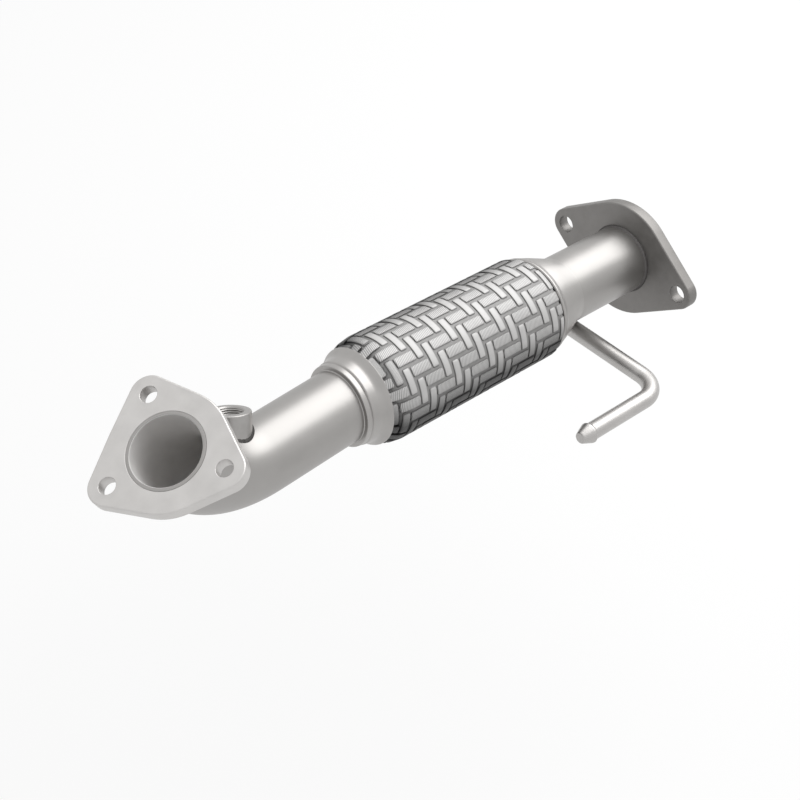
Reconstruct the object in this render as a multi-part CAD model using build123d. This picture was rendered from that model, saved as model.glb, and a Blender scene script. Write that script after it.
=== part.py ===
from build123d import *
import os
from math import cos, radians, sin

os.makedirs("parts", exist_ok=True)

# Exhaust front pipe with a braided flex section. Lengths in millimetres, angles in degrees.
# Origin: centre of the outlet flange's mating face. +X is the gas flow, +Y runs along the two
# outlet bolt holes, +Z is up.

# Tube stock
TUBE_OD = 50.8
TUBE_WALL = 2.5
SLIP = 0.1

# Flange plates. A rim is measured outwards from the tube.
FLANGE_CHAMFER = 0.8
OUTLET_FLANGE_T = 9.0
OUTLET_RIM = 18.6
OUTLET_LOBE_R = 12.0
OUTLET_BOLT_SPACING = 110.0
OUTLET_HOLE_D = 13.0
INLET_FLANGE_T = 9.5
INLET_RIM = 14.2
INLET_LOBE_R = 12.8
INLET_BOLT_CIRCLE_D = 80.0
INLET_HOLE_D = 11.0
INLET_BOLT_ANGLES = (-157.4, -26.4, 71.6)

# Inlet pipe as bent, from the flex section out: a slight droop, a straight, the bend up, the end.
# Each clock angle turns the tube about its own axis before the bend.
DROOP_INSET = 3.3
DROOP_CLOCK = 167.0
DROOP_R = 75.0
DROOP_ANGLE = 4.5
BRANCH_STRAIGHT = 64.1
BEND_CLOCK = -162.9
BEND_R = 75.0
BEND_ANGLE = 62.0
BRANCH_END = 19.8

# Flex section: where its collars lie along X. Every step below is a height above the tube.
INLET_COLLAR_X = -292.3
INLET_LIP_X = -274.7
OUTLET_LIP_X = -111.1
OUTLET_CONE_END_X = -80.5
TUBE_PAST_LIP = 6.0
COLLAR_LAND = 4.0

# Inlet collar: crimp ring, groove and bell
FACE_STEP = 2.9
RING_STEP = 4.7
RING_LENGTH = 4.1
GROOVE_DEPTH = 0.5
BELL_STEP = 8.2
BELL_LENGTH = 12.5
INLET_LIP_STEP = 9.5
LIP_T = 1.2

# Outlet collar: rolled bead and straight cone
BEAD_R = 1.6
BEAD_CREST_STEP = 11.0
CONE_END_STEP = 0.6

# Woven sleeve: flat ribbons along the axis and around it, two over and two under
WOVEN_STEP = 12.7
BRAID_WALL = 1.8
ROWS = 24
ROW_PHASE = -1.57
RING_PITCH = 7.94
FIRST_RING = 9.2
AXIAL_RIBBON_W = 7.2
RING_RIBBON_W = 5.3
RELIEF = 1.2
AXIAL_FLOAT_OVERHANG = 3.9
AXIAL_RAMP = 2.2
RING_FLOAT_ANGLE = 13.9
RING_RAMP_ANGLE = 1.4

# Woven sleeve's ends: cuffs gripped in the collars, and the shoulders that rise from them.
# A shoulder point gives the distance from the lip and the drop below the woven top.
CUFF_STEP = 6.9
CUFF_LENGTH = 4.6
CUFF_RELEASE = 1.0
INLET_SHOULDER = ((3.2, 3.0), (7.5, 1.1), (14.7, 0.0))
OUTLET_SHOULDER = 2.9

# Inside of the flex section: a liner held in the inlet pipe, and the bellows that seals it
LINER_WALL = 0.8
LINER_OVERLAP = 10.0
LINER_END_GAP = 1.0
BELLOWS_WALL = 0.6
BELLOWS_FOLDS = 10
BELLOWS_CREST_STEP = 7.1
BELLOWS_LAP = 5.0

# Sensor bung on the inside of the bend
BUNG_OD = 28.0
BUNG_BORE = 16.5
BUNG_STEP = 12.6
BUNG_BEND_ANGLE = 19.0
BUNG_CLOCK = 25.0

# Hanger rod under the outlet pipe, with a barbed tip
ROD_D = 12.7
ROD_X = -67.5
ROD_START_Y = 14.0
ROD_REACH_Y = -97.9
ROD_TIP_X = -155.4
ROD_BEND_R = 20.0
BARB_R = 7.5
BARB_TIP_R = 4.0
BARB_TAPER = 9.5
BARB_SHOULDER = 1.5

# Weld beads
WELD_LEG = 3.0
WELD_HEIGHT = 2.2
COLLAR_WELD_LEG = 1.5
CONE_WELD_LEG = 1.6
BUNG_WELD_LEG = 2.2
BUNG_WELD_HEIGHT = 1.6
ROD_WELD_LEG = 5.0
ROD_WELD_INSET = 2.0
ROD_WELD_LENGTH = 20.0

# Sizes that follow
TUBE_R = TUBE_OD / 2
BORE_R = TUBE_R - TUBE_WALL
SOCKET_R = TUBE_R + SLIP
INLET_TUBE_END_X = INLET_LIP_X + TUBE_PAST_LIP
OUTLET_TUBE_START_X = OUTLET_LIP_X - TUBE_PAST_LIP
RING_R = TUBE_R + RING_STEP
BEAD_CREST_R = TUBE_R + BEAD_CREST_STEP
INLET_LIP_R = TUBE_R + INLET_LIP_STEP
CUFF_R = TUBE_R + CUFF_STEP
WOVEN_TOP = TUBE_R + WOVEN_STEP
WOVEN_BASE = WOVEN_TOP - RELIEF
ROW_ANGLE = 360 / ROWS
FLAT_RATIO = cos(radians(ROW_ANGLE / 2))
SUPPORT_R = (CUFF_R - BRAID_WALL) * FLAT_RATIO
BELLOWS_CREST_R = TUBE_R + BELLOWS_CREST_STEP
ROD_R = ROD_D / 2
ROD_Z = -TUBE_R - ROD_R


# Solids of revolution about X
def turned(outline):
    """Solid of revolution from (x, radius) points."""
    return revolve(make_face(Polyline(*outline, close=True)), Axis.X)


def sleeve(x0, x1, inner_r, outer_r):
    return turned([(x0, inner_r), (x1, inner_r), (x1, outer_r), (x0, outer_r)])


def fillet_weld(x, leg, height):
    """Bead around a tube: its foot on the plane at x, running out along the tube by leg."""
    return turned([(x, TUBE_R), (x, TUBE_R + height), (x + leg, TUBE_R)])


# Frames. The inlet pipe's run along their -x, with a bend's centre on +z.
def across(x):
    """Plane across the axis, with its x along +Y and its y along +Z."""
    return Plane(origin=(x, 0, 0), x_dir=(0, 1, 0), z_dir=(1, 0, 0))


def turn(bend_r, angle):
    """Move from a bend's start to the given angle along it."""
    return Pos(Z=bend_r) * Rot(Y=angle) * Pos(Z=-bend_r)


DROOP_START_X = INLET_COLLAR_X + DROOP_INSET
DROOP_START = Pos(X=DROOP_START_X) * Rot(X=DROOP_CLOCK)
DROOP_END = DROOP_START * turn(DROOP_R, DROOP_ANGLE) * Rot(X=BEND_CLOCK)
BEND_START = DROOP_END * Pos(X=-BRANCH_STRAIGHT)
BEND_END = BEND_START * turn(BEND_R, BEND_ANGLE)
INLET_FACE = BEND_END * Pos(X=-BRANCH_END) * Rot(Y=-90) * Rot(Z=90)
BUNG_FRAME = BEND_START * turn(BEND_R, BUNG_BEND_ANGLE) * Rot(X=-BUNG_CLOCK)


# Tubes
def outlet_pipe():
    return sleeve(OUTLET_TUBE_START_X, 0, BORE_R, TUBE_R)


def bar(frame, radius, length):
    return frame * Rot(Y=-90) * extrude(Circle(radius), amount=length)


def bent_bar(frame, radius, bend_r, angle):
    centre = Axis((0, 0, bend_r), (0, 1, 0))
    return frame * revolve(Rot(Y=-90) * Circle(radius), centre, angle)


def inlet_bar(radius):
    """Solid bar along the inlet pipe's centreline."""
    runs = [
        bar(Pos(X=INLET_TUBE_END_X), radius, INLET_TUBE_END_X - DROOP_START_X),
        bent_bar(DROOP_START, radius, DROOP_R, DROOP_ANGLE),
        bar(DROOP_END, radius, BRANCH_STRAIGHT),
        bent_bar(BEND_START, radius, BEND_R, BEND_ANGLE),
        bar(BEND_END, radius, BRANCH_END),
    ]
    return runs[0] + runs[1:]


def inlet_pipe():
    return inlet_bar(TUBE_R) - inlet_bar(BORE_R) - bung_bar(BUNG_BORE / 2)


# Flanges: mating face on z = 0, plate below it
def flange(thickness, rim, lobe_r, bolt_centres, hole_d):
    spots = [Pos(*centre) for centre in bolt_centres]
    body = Circle(TUBE_R + rim).edge()
    outline = make_hull([body] + [(spot * Circle(lobe_r)).edge() for spot in spots])
    plate = extrude(outline, amount=-thickness)
    rims = plate.edges().group_by(Axis.Z)
    plate = chamfer(rims[0] + rims[-1], FLANGE_CHAMFER)
    openings = Circle(SOCKET_R) + [spot * Circle(hole_d / 2) for spot in spots]
    return plate - extrude(openings, amount=-thickness)


def outlet_flange():
    centres = [(side * OUTLET_BOLT_SPACING / 2, 0) for side in (-1, 1)]
    plate = flange(OUTLET_FLANGE_T, OUTLET_RIM, OUTLET_LOBE_R, centres, OUTLET_HOLE_D)
    return across(0) * plate


def inlet_flange():
    reach = INLET_BOLT_CIRCLE_D / 2
    centres = [(reach * cos(radians(a)), reach * sin(radians(a))) for a in INLET_BOLT_ANGLES]
    plate = flange(INLET_FLANGE_T, INLET_RIM, INLET_LOBE_R, centres, INLET_HOLE_D)
    return INLET_FACE * plate


def outlet_flange_weld():
    return fillet_weld(-OUTLET_FLANGE_T, -WELD_LEG, WELD_HEIGHT)


def inlet_flange_weld():
    return INLET_FACE * Pos(Z=-INLET_FLANGE_T) * Rot(Y=90) * fillet_weld(0, WELD_LEG, WELD_HEIGHT)


# Flex section: collars
def inlet_collar():
    ring_x = INLET_COLLAR_X + RING_LENGTH
    return turned([
        (INLET_COLLAR_X, SOCKET_R),
        (INLET_COLLAR_X, TUBE_R + FACE_STEP),
        (ring_x, RING_R),
        (ring_x + GROOVE_DEPTH, RING_R - GROOVE_DEPTH),
        (INLET_COLLAR_X + BELL_LENGTH, TUBE_R + BELL_STEP),
        (INLET_LIP_X, INLET_LIP_R),
        (INLET_LIP_X, INLET_LIP_R - LIP_T),
        (INLET_LIP_X - CUFF_LENGTH, CUFF_R + SLIP),
        (INLET_COLLAR_X + COLLAR_LAND, SOCKET_R),
    ])


def outlet_collar():
    throat_r = BEAD_CREST_R - 2 * BEAD_R
    bead_x = OUTLET_LIP_X + BEAD_R
    return turned([
        (OUTLET_LIP_X, throat_r),
        (OUTLET_LIP_X, BEAD_CREST_R - BEAD_R / 2),
        (bead_x - BEAD_R / 2, BEAD_CREST_R),
        (bead_x + BEAD_R / 2, BEAD_CREST_R),
        (OUTLET_CONE_END_X, TUBE_R + CONE_END_STEP),
        (OUTLET_CONE_END_X, SOCKET_R),
        (OUTLET_CONE_END_X - COLLAR_LAND, SOCKET_R),
        (OUTLET_LIP_X + CUFF_LENGTH, CUFF_R + SLIP),
    ])


def inlet_collar_weld():
    """Bead on the collar's face, its root cut to the tube where the droop begins."""
    toe_x = INLET_COLLAR_X - COLLAR_WELD_LEG
    crest_r = TUBE_R + WELD_HEIGHT
    bead = turned([(INLET_COLLAR_X, BORE_R), (INLET_COLLAR_X, crest_r), (toe_x, TUBE_R)])
    return bead - inlet_bar(TUBE_R)


def outlet_collar_weld():
    return fillet_weld(OUTLET_CONE_END_X, CONE_WELD_LEG, CONE_END_STEP)


# Flex section: woven sleeve, one flat side to a row
def faceted(stations):
    """Solid through regular polygons, from (x, corner radius) stations."""
    corner = ROW_PHASE + ROW_ANGLE / 2
    sections = [across(x) * RegularPolygon(r, ROWS, rotation=corner) for x, r in stations]
    return loft(sections, ruled=True)


def sleeve_stations(lowered):
    """Corner radii along the sleeve's outside, with the woven part lowered."""
    inlet_cuff = [(INLET_LIP_X - CUFF_LENGTH, CUFF_R), (INLET_LIP_X - CUFF_RELEASE, CUFF_R)]
    rise = [(INLET_LIP_X + dx, WOVEN_TOP - drop - lowered) for dx, drop in INLET_SHOULDER]
    fall = [(OUTLET_LIP_X - OUTLET_SHOULDER, WOVEN_TOP - lowered)]
    outlet_cuff = [(OUTLET_LIP_X, CUFF_R), (OUTLET_LIP_X + CUFF_LENGTH, CUFF_R)]
    return inlet_cuff + rise + fall + outlet_cuff


def polar(r, angle):
    return (r * cos(radians(angle)), r * sin(radians(angle)))


def row_turn(row):
    return Rot(X=ROW_PHASE + row * ROW_ANGLE)


def axial_float(row, x0, x1):
    """Ribbon along the axis, raised from x0 to x1 in one row, with a ramp at each end."""
    foot, head = WOVEN_BASE - RELIEF, WOVEN_TOP + RELIEF
    side = Polyline(
        (x0 - AXIAL_RAMP, foot), (x1 + AXIAL_RAMP, foot), (x1 - AXIAL_RAMP, head), (x0 + AXIAL_RAMP, head),
        close=True,
    )
    return row_turn(row) * extrude(make_face(side), amount=AXIAL_RIBBON_W / 2, both=True)


def ring_float(row, x):
    """Ribbon around the sleeve, raised over a row and the next one, with a ramp at each end."""
    foot, head = WOVEN_BASE - RELIEF, WOVEN_TOP + RELIEF
    low, high = RING_FLOAT_ANGLE + RING_RAMP_ANGLE, RING_FLOAT_ANGLE - RING_RAMP_ANGLE
    section = Polyline(
        (foot, 0), polar(foot, -low), polar(head, -high), polar(head, high), polar(foot, low),
        close=True,
    )
    strip = extrude(make_face(section), amount=RING_RIBBON_W / 2, both=True)
    return row_turn(row + 0.5) * (across(x) * strip)


def woven_repeat():
    """Ribbons of four rows, which is one repeat of the two-over, two-under weave."""
    first_x = INLET_LIP_X + FIRST_RING
    rings = int((OUTLET_LIP_X - OUTLET_SHOULDER - first_x) / RING_PITCH + 0.95)
    floats = [ring_float(ring, first_x + ring * RING_PITCH) for ring in range(rings)]
    for row in range(4):
        for ring in range(row - 3, rings, 4):
            x0 = max(first_x + ring * RING_PITCH - AXIAL_FLOAT_OVERHANG, INLET_LIP_X)
            x1 = min(first_x + (ring + 1) * RING_PITCH + AXIAL_FLOAT_OVERHANG, OUTLET_LIP_X)
            if x1 - x0 > RING_PITCH:
                floats.append(axial_float(row, x0, x1))
    return floats


def braid():
    envelope = faceted(sleeve_stations(0))
    raised = [envelope & strip for strip in woven_repeat()]
    turns = [Rot(X=step * 4 * ROW_ANGLE) for step in range(ROWS // 4)]
    bed = faceted(sleeve_stations(RELIEF))
    hollow = faceted([(x, r - BRAID_WALL) for x, r in sleeve_stations(RELIEF)])
    return bed + [turn * strip for turn in turns for strip in raised] - hollow


# Flex section: inside the sleeve
def support_rings():
    """Rings that back the sleeve's cuffs."""
    inlet = sleeve(INLET_LIP_X - CUFF_LENGTH, INLET_LIP_X - CUFF_RELEASE, SOCKET_R, SUPPORT_R)
    outlet = sleeve(OUTLET_LIP_X + CUFF_RELEASE, OUTLET_LIP_X + CUFF_LENGTH, SOCKET_R, SUPPORT_R)
    return Compound([inlet, outlet])


def liner():
    """Plain tube held in the inlet pipe's end, and free just short of the outlet pipe."""
    outer_r = BORE_R - SLIP
    x0, x1 = INLET_TUBE_END_X - LINER_OVERLAP, OUTLET_TUBE_START_X - LINER_END_GAP
    return sleeve(x0, x1, outer_r - LINER_WALL, outer_r)


def sided(x0, x1, r):
    """Bar with one flat side to a row of the sleeve, from x0 to x1."""
    section = RegularPolygon(r / FLAT_RATIO, ROWS, rotation=ROW_PHASE + ROW_ANGLE / 2)
    return across(x0) * extrude(section, amount=x1 - x0)


def bellows():
    """Thin tube folded in and out, sided like the sleeve, its ends lapped over the two pipes."""
    x0, x1 = INLET_TUBE_END_X - BELLOWS_LAP, OUTLET_TUBE_START_X + BELLOWS_LAP
    pitch = (OUTLET_TUBE_START_X - INLET_TUBE_END_X) / BELLOWS_FOLDS
    crests = [INLET_TUBE_END_X + (fold + 0.25) * pitch for fold in range(BELLOWS_FOLDS)]
    outer_folds = [sided(x, x + pitch / 2, BELLOWS_CREST_R) for x in crests]
    inner_r = BELLOWS_CREST_R - BELLOWS_WALL
    inner_folds = [sided(x + BELLOWS_WALL, x + pitch / 2 - BELLOWS_WALL, inner_r) for x in crests]
    outside = sided(x0, x1, SOCKET_R + BELLOWS_WALL) + outer_folds
    return outside - (sided(x0, x1, SOCKET_R) + inner_folds)


# Sensor bung
def bung_bar(radius):
    return BUNG_FRAME * extrude(Circle(radius), amount=TUBE_R + BUNG_STEP)


def fly_cut():
    """Cutter for the bung's foot: a straight tube, lifted to clear the bend's hollow side."""
    hollow_r = BEND_R / cos(radians(BUNG_CLOCK)) - TUBE_R
    lift = hollow_r - (hollow_r**2 - (BUNG_OD / 2) ** 2) ** 0.5 + SLIP
    return bar(BUNG_FRAME * Pos(X=BUNG_OD, Z=lift), TUBE_R, 2 * BUNG_OD)


def sensor_bung():
    return bung_bar(BUNG_OD / 2) - bung_bar(BUNG_BORE / 2) - fly_cut()


def sensor_bung_weld():
    """Bead around the bung's foot, following the saddle on the tube."""
    skirt = bung_bar(BUNG_OD / 2 + BUNG_WELD_LEG) & inlet_bar(TUBE_R + BUNG_WELD_HEIGHT)
    return skirt - bung_bar(BUNG_OD / 2) - inlet_bar(TUBE_R)


# Hanger rod
def hanger_rod():
    corner = (ROD_X, ROD_REACH_Y, ROD_Z)
    neck_x = ROD_TIP_X + BARB_TAPER + BARB_SHOULDER
    start, neck = (ROD_X, ROD_START_Y, ROD_Z), (neck_x, ROD_REACH_Y, ROD_Z)
    route = FilletPolyline(start, corner, neck, radius=ROD_BEND_R)
    rod = sweep(Plane(origin=start, z_dir=(0, -1, 0)) * Circle(ROD_R), path=route)
    barb = turned([
        (neck_x, 0), (neck_x, ROD_R), (ROD_TIP_X + BARB_TAPER, BARB_R), (ROD_TIP_X, BARB_TIP_R), (ROD_TIP_X, 0),
    ])
    return rod + Pos(Y=ROD_REACH_Y, Z=ROD_Z) * barb


def hanger_rod_weld():
    """Bead on each side of the rod, in the notch between it and the tube."""
    width = ROD_R + ROD_WELD_LEG - ROD_WELD_INSET
    centre_x = ROD_WELD_INSET + width / 2
    block = Box(width, ROD_WELD_LENGTH, ROD_R)
    blocks = [Pos(ROD_X + side * centre_x, 0, ROD_Z + ROD_R) * block for side in (-1, 1)]
    rod = Pos(ROD_X, 0, ROD_Z) * Rot(X=90) * Cylinder(ROD_R, 2 * ROD_WELD_LENGTH)
    tube = Pos(ROD_X, 0, 0) * Rot(Y=90) * Cylinder(TUBE_R, 4 * ROD_WELD_LENGTH)
    return Compound([solid for block in blocks for solid in (block - rod - tube).solids()])


NODES = {
    "inlet_flange": inlet_flange,
    "inlet_flange_weld": inlet_flange_weld,
    "inlet_pipe": inlet_pipe,
    "sensor_bung": sensor_bung,
    "sensor_bung_weld": sensor_bung_weld,
    "inlet_collar_weld": inlet_collar_weld,
    "flex_inlet_collar": inlet_collar,
    "flex_braid": braid,
    "flex_support_rings": support_rings,
    "flex_bellows": bellows,
    "flex_liner": liner,
    "flex_outlet_collar": outlet_collar,
    "outlet_collar_weld": outlet_collar_weld,
    "outlet_pipe": outlet_pipe,
    "outlet_flange_weld": outlet_flange_weld,
    "outlet_flange": outlet_flange,
    "hanger_rod": hanger_rod,
    "hanger_rod_weld": hanger_rod_weld,
}

for name, make in NODES.items():
    export_step(make(), f"parts/{name}.step")
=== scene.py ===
"""Looks of the exhaust front pipe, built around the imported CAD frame.

Sizes are in millimetres, in the CAD's frame: the origin is the centre of the outlet flange's mating
face, +X is the gas flow and +Z is up. A mesh is turned to metres when it is finished.
"""
import sys

import logging
import math
from collections.abc import Callable, Sequence
from dataclasses import dataclass, field
from enum import Enum

import bmesh
import bpy
from mathutils import Matrix, Vector


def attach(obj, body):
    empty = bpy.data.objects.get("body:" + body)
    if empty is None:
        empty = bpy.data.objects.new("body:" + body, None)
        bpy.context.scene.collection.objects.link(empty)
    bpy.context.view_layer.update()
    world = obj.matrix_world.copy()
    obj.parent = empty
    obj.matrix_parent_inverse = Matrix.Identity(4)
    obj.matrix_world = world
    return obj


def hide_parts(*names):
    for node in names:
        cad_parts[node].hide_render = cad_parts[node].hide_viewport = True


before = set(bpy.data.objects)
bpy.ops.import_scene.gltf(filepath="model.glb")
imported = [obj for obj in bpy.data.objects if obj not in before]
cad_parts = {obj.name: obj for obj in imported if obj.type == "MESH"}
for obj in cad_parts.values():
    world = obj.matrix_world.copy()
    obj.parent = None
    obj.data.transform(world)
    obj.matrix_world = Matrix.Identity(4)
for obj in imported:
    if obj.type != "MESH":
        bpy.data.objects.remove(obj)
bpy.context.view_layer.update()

LOG = logging.getLogger("front_pipe")
MM = 0.001
TUBE_R = 25.4
BORE_R = 22.9
BODY = "root"

# Short names for types
Node = bpy.types.Node
Piece = bpy.types.Object
Socket = bpy.types.NodeSocket
Sockets = bpy.types.bpy_prop_collection
Tree = bpy.types.NodeTree
Wire = Socket | Node
Outline = list[tuple[float, float]]
Shape = Callable[[float], float]


def slide(x: float) -> Matrix:
    """Moves along the local x axis."""
    return Matrix.Translation((x, 0.0, 0.0))


def turn(degrees: float, axis: str) -> Matrix:
    """Turns about a local axis, X, Y or Z."""
    return Matrix.Rotation(math.radians(degrees), 4, axis)


def linear(hex_colour: str) -> tuple[float, float, float, float]:
    """Turns an sRGB hex colour to linear RGBA.

    Args:
        hex_colour: The colour as six hex digits.

    Returns:
        Red, green, blue and an alpha of one.
    """
    parts = [int(hex_colour[i:i + 2], 16) / 255 for i in (0, 2, 4)]
    red, green, blue = (p / 12.92 if p <= 0.04045 else ((p + 0.055) / 1.055) ** 2.4 for p in parts)
    return red, green, blue, 1.0


def node(tree: Tree, kind: str, links: dict | None = None, **settings: str) -> Node:
    """Adds a node to a tree.

    Args:
        tree: The shader or geometry tree.
        kind: The node's type name.
        links: What each input gets, by its name or number: a socket is linked, a value is set.
        **settings: Properties of the node.

    Returns:
        The new node.
    """
    made = tree.nodes.new(kind)
    for name, value in settings.items():
        setattr(made, name, value)
    for key, value in (links or {}).items():
        if isinstance(value, Node):
            value = value.outputs[0]
        if isinstance(value, Socket):
            tree.links.new(value, made.inputs[key])
        else:
            made.inputs[key].default_value = value
    return made


def calc(tree: Tree, operation: str, *values: Wire | float) -> Node:
    """Adds a math node, with its values in order."""
    return node(tree, "ShaderNodeMath", dict(enumerate(values)), operation=operation)


def scaled(tree: Tree, vector: Wire, factor: Wire | float) -> Socket:
    """Adds a node that scales a vector or a colour."""
    return node(tree, "ShaderNodeVectorMath", {0: vector, "Scale": factor}, operation="SCALE").outputs[0]


def noise(tree: Tree, vector: Wire, scale: float, detail: float) -> Socket:
    """Adds a noise texture."""
    return node(tree, "ShaderNodeTexNoise", {"Vector": vector, "Scale": scale, "Detail": detail}).outputs[0]


def ranged(
    tree: Tree, value: Wire, near: Sequence[float], far: Sequence[Wire | float] = (0.0, 1.0), **settings: str
) -> Node:
    """Adds a node that maps one range of values to another.

    Args:
        tree: The shader or geometry tree.
        value: What is mapped.
        near: The two ends of its range.
        far: What the two ends become.
        **settings: Properties of the node.

    Returns:
        The new node.
    """
    ends = dict(zip(("From Min", "From Max", "To Min", "To Max"), (*near, *far)))
    return node(tree, "ShaderNodeMapRange", {"Value": value} | ends, **settings)


def emptied(owner: bpy.types.Material | bpy.types.World) -> Tree:
    """Gives the node tree of a material or a world, without the nodes that it starts with."""
    owner.use_nodes = True
    owner.node_tree.nodes.clear()
    return owner.node_tree


def linked(name: str, data: bpy.types.ID) -> Piece:
    """Makes an object of some data and links it to the scene."""
    made = bpy.data.objects.new(name, data)
    bpy.context.scene.collection.objects.link(made)
    return made


# Finishes


@dataclass(frozen=True)
class SteelFinish:
    """A steel surface: its tone, its cloudiness and the fine relief that its making leaves."""

    name: str
    tone: str
    shade: str
    metallic: float
    roughness: float
    spread: float
    cloud_mm: float
    relief_mm: float

    def relief(self, tree: Tree, place: Socket) -> Socket:
        """Height of the fine relief: an even, isotropic grain."""
        return noise(tree, place, scale=900.0, detail=3.0)

    def tint(self, tree: Tree, place: Socket, colour: Socket) -> Socket:
        """Colour of the surface, which a finish may darken in places."""
        return colour

    def material(self) -> bpy.types.Material:
        """Builds the material.

        Returns:
            A node material that reads the object's own coordinates.
        """
        made = bpy.data.materials.new(self.name)
        tree = emptied(made)
        place = node(tree, "ShaderNodeTexCoord").outputs["Object"]
        clouds = noise(tree, place, scale=1 / (self.cloud_mm * MM), detail=4.0)
        cloudy = (0.3, 0.7)
        tones = {0: ranged(tree, clouds, cloudy), 6: linear(self.shade), 7: linear(self.tone)}
        colour = node(tree, "ShaderNodeMix", tones, data_type="RGBA").outputs[2]
        rough = ranged(tree, clouds, cloudy, (self.roughness - self.spread, self.roughness + self.spread))
        bump = node(tree, "ShaderNodeBump", {
            "Strength": 1.0, "Distance": self.relief_mm * MM, "Height": self.relief(tree, place),
        })
        shader = node(tree, "ShaderNodeBsdfPrincipled", {
            "Base Color": self.tint(tree, place, colour), "Metallic": self.metallic,
            "Roughness": rough, "Normal": bump,
        })
        node(tree, "ShaderNodeOutputMaterial", {"Surface": shader})
        return made


@dataclass(frozen=True)
class TurnedFinish(SteelFinish):
    """Spun or turned sheet, with faint rings left around the axis by the roller."""

    ring_mm: float = 0.8

    def relief(self, tree: Tree, place: Socket) -> Socket:
        """Height of the relief: uneven rings around X."""
        rings = node(tree, "ShaderNodeMapping", {"Vector": place, "Scale": (1.0, 0.02, 0.02)})
        return noise(tree, rings, scale=1 / (self.ring_mm * MM), detail=2.0)


@dataclass(frozen=True)
class SleeveFinish(SteelFinish):
    """Steel of the woven sleeve, with painted shade that darkens its sides and underside."""

    # Painted shade: the share of the colour left on the sides and underside, away from the lit axis.
    underside_shade: float = 0.16
    shade_from: float = 0.34
    shade_to: float = 0.74
    lit_axis: tuple[float, float, float] = (0.0, -0.5, 0.866)
    sleeve_r: float = 38.1

    def tint(self, tree: Tree, place: Socket, colour: Socket) -> Socket:
        """Colour with painted shade, which deepens away from the side of the sleeve that the lamp lights.

        Args:
            tree: The material's tree.
            place: The object's own coordinates.
            colour: The steel's colour.

        Returns:
            The colour that shows.
        """
        facing = node(tree, "ShaderNodeVectorMath", {0: place, 1: self.lit_axis}, operation="DOT_PRODUCT")
        ends = [share * self.sleeve_r * MM for share in (self.shade_from, self.shade_to)]
        return scaled(tree, colour, ranged(tree, facing.outputs["Value"], ends, (self.underside_shade, 1.0)))


@dataclass(frozen=True)
class WireFinish(SleeveFinish):
    """Flat ribbon of laid wires, whose fine cords cross it."""

    cord_mm: float = 1.25
    slant: float = 0.25
    # Painted shade: the share of the colour left between the cords and low on the ribbon's sides.
    gap_shade: float = 0.25
    gap_height: float = 0.6
    side_shade: float = 0.4
    side_depth: tuple[float, float] = (0.06, 0.4)
    only_below_x: float | None = None
    fade: float = 1.5

    def relief(self, tree: Tree, place: Socket) -> Socket:
        """Height of the relief: round cords across the ribbon, read from its own UV map.

        Args:
            tree: The material's tree.
            place: The object's own coordinates.

        Returns:
            The height, from nought between the cords to one on their crests.
        """
        chart = node(tree, "ShaderNodeUVMap", uv_map="UVMap")
        along, across = node(tree, "ShaderNodeSeparateXYZ", {0: chart}).outputs[:2]
        leaned = calc(tree, "MULTIPLY_ADD", across, self.slant, along)
        turns = calc(tree, "MULTIPLY", leaned, math.pi / (self.cord_mm * MM))
        height = calc(tree, "ABSOLUTE", calc(tree, "SINE", turns)).outputs[0]
        if self.only_below_x is None:
            return height
        x = node(tree, "ShaderNodeSeparateXYZ", {0: place})
        ends = (self.only_below_x * MM, (self.only_below_x + self.fade) * MM)
        shown = ranged(tree, x, ends, (1.0, 0.0))
        return node(tree, "ShaderNodeMix", {0: shown, 2: 1.0, 3: height}).outputs[0]

    def tint(self, tree: Tree, place: Socket, colour: Socket) -> Socket:
        """Colour of the cords, with painted shade in the gaps between them and down the ribbon's sides.

        Args:
            tree: The material's tree.
            place: The object's own coordinates.
            colour: The steel's colour.

        Returns:
            The colour that shows.
        """
        depth = node(tree, "ShaderNodeAttribute", attribute_name="depth").outputs["Fac"]
        cords = ranged(tree, self.relief(tree, place), (0.0, self.gap_height), (self.gap_shade, 1.0))
        sides = ranged(tree, depth, self.side_depth, (1.0, self.side_shade))
        return scaled(tree, super().tint(tree, place, colour), calc(tree, "MULTIPLY", cords, sides))


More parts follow.
